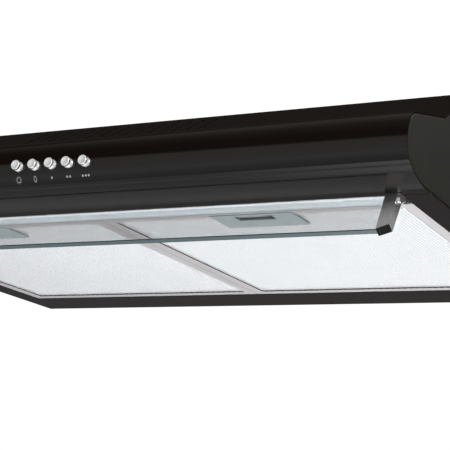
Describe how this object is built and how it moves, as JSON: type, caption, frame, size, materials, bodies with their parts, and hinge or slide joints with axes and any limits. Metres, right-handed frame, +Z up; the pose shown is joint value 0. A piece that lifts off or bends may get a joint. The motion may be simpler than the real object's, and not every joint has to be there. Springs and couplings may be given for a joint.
{
  "type": "under cabinet range hood",
  "caption": "Slim under-cabinet cooker hood with a rounded nose, push buttons, a tilting glass visor, two drop-down grease filters and a top duct outlet.",
  "frame": {"origin": "the flat top face that is screwed up against the cabinet, midway across the width and near the middle of the flat top", "axes": "+X to the right of a person facing the hood, +Y towards the wall, +Z up into the cabinet"},
  "size_m": [0.6, 0.4509, 0.1813],
  "materials": {
    "black_paint": "gloss",
    "cheek_paint": "satin",
    "aluminium": "satin",
    "filter_mesh": "satin",
    "zinc_steel": "satin",
    "chrome": "polished",
    "opal_plastic": "frosted",
    "clear_glass": "clear",
    "lamp_glass": "coated white",
    "black_plastic": "matte",
    "grey_plastic": "satin",
    "white_plastic": "satin"
  },
  "bodies": {
    "hood_body": {"ballast": "zinc_steel", "blower_lower_shell": "black_plastic", "blower_screw_1": "zinc_steel", "blower_screw_2": "zinc_steel", "blower_screw_3": "zinc_steel", "blower_screw_4": "zinc_steel", "blower_upper_shell": "black_plastic", "cable_gland": "black_plastic", "canopy": "black_paint", "capacitor": "white_plastic", "damper_pin": "zinc_steel", "end_cheek_left": "cheek_paint", "end_cheek_right": "cheek_paint", "front_panel": "black_paint", "inlet_grille": "black_plastic", "lamp_cap_left": "aluminium", "lamp_cap_right": "aluminium", "lamp_diffuser": "opal_plastic", "lamp_socket_left": "white_plastic", "lamp_socket_right": "white_plastic", "lamp_tray": "zinc_steel", "lamp_tube": "lamp_glass", "motor": "zinc_steel", "outlet_collar": "black_plastic", "switch_housing": "black_plastic", "terminal_box": "black_plastic", "terminal_cover": "black_plastic", "underside_plate": "black_paint", "visor_bracket_left": "chrome", "visor_bracket_right": "chrome"},
    "visor": {"visor_glass": "clear_glass", "visor_clip_left": "chrome", "visor_clip_right": "chrome"},
    "filter_left": {"filter_frame_left": "aluminium", "filter_mesh_left": "filter_mesh", "latch_plate_left": "grey_plastic"},
    "filter_right": {"filter_frame_right": "aluminium", "filter_mesh_right": "filter_mesh", "latch_plate_right": "grey_plastic"},
    "latch_left": {"latch_slider_left": "grey_plastic"},
    "latch_right": {"latch_slider_right": "grey_plastic"},
    "rotor": {"fan_wheel": "black_plastic", "motor_shaft": "zinc_steel"},
    "damper_front": {"damper_flap_front": "grey_plastic"},
    "damper_rear": {"damper_flap_rear": "grey_plastic"},
    "key_lamp": {"button_lamp": "chrome"},
    "key_off": {"button_off": "chrome"},
    "key_speed_1": {"button_speed_1": "chrome"},
    "key_speed_2": {"button_speed_2": "chrome"},
    "key_speed_3": {"button_speed_3": "chrome"}
  },
  "joints": [
    {"name": "visor_tilt", "type": "hinge", "parent": "hood_body", "child": "visor", "pos_m": [0, -0.2509, -0.1176], "axis": [-1, 0, 0], "range_deg": [-30, 55]},
    {"name": "filter_left_drop", "type": "hinge", "parent": "hood_body", "child": "filter_left", "pos_m": [0, 0.0876, -0.113], "axis": [1, 0, 0], "range_deg": [0, 60]},
    {"name": "filter_right_drop", "type": "hinge", "parent": "hood_body", "child": "filter_right", "pos_m": [0, 0.0876, -0.113], "axis": [1, 0, 0], "range_deg": [0, 60]},
    {"name": "latch_left_slide", "type": "slide", "parent": "filter_left", "child": "latch_left", "axis": [0, 1, 0], "range_m": [0, 0.005], "stiffness_N_per_m": 400, "springref_m": -0.003},
    {"name": "latch_right_slide", "type": "slide", "parent": "filter_right", "child": "latch_right", "axis": [0, 1, 0], "range_m": [0, 0.005], "stiffness_N_per_m": 400, "springref_m": -0.003},
    {"name": "button_lamp_press", "type": "slide", "parent": "hood_body", "child": "key_lamp", "axis": [0, 0.9976, -0.0698], "range_m": [0, 0.004], "stiffness_N_per_m": 300, "springref_m": -0.002},
    {"name": "button_off_press", "type": "slide", "parent": "hood_body", "child": "key_off", "axis": [0, 0.9976, -0.0698], "range_m": [0, 0.004], "stiffness_N_per_m": 300, "springref_m": -0.002},
    {"name": "button_speed_1_press", "type": "slide", "parent": "hood_body", "child": "key_speed_1", "axis": [0, 0.9976, -0.0698], "range_m": [0, 0.004], "stiffness_N_per_m": 300, "springref_m": -0.002},
    {"name": "button_speed_2_press", "type": "slide", "parent": "hood_body", "child": "key_speed_2", "axis": [0, 0.9976, -0.0698], "range_m": [0, 0.004], "stiffness_N_per_m": 300, "springref_m": -0.002},
    {"name": "button_speed_3_press", "type": "slide", "parent": "hood_body", "child": "key_speed_3", "axis": [0, 0.9976, -0.0698], "range_m": [0, 0.004], "stiffness_N_per_m": 300, "springref_m": -0.002},
    {"name": "fan_spin", "type": "hinge", "parent": "hood_body", "child": "rotor", "pos_m": [-0.04, -0.046, -0.066], "axis": [0, 0, 1], "continuous": true},
    {"name": "damper_front_lift", "type": "hinge", "parent": "hood_body", "child": "damper_front", "pos_m": [0, 0.076, 0.012], "axis": [-1, 0, 0], "range_deg": [0, 80]},
    {"name": "damper_rear_lift", "type": "hinge", "parent": "hood_body", "child": "damper_rear", "pos_m": [0, 0.076, 0.012], "axis": [1, 0, 0], "range_deg": [0, 80]}
  ]
}
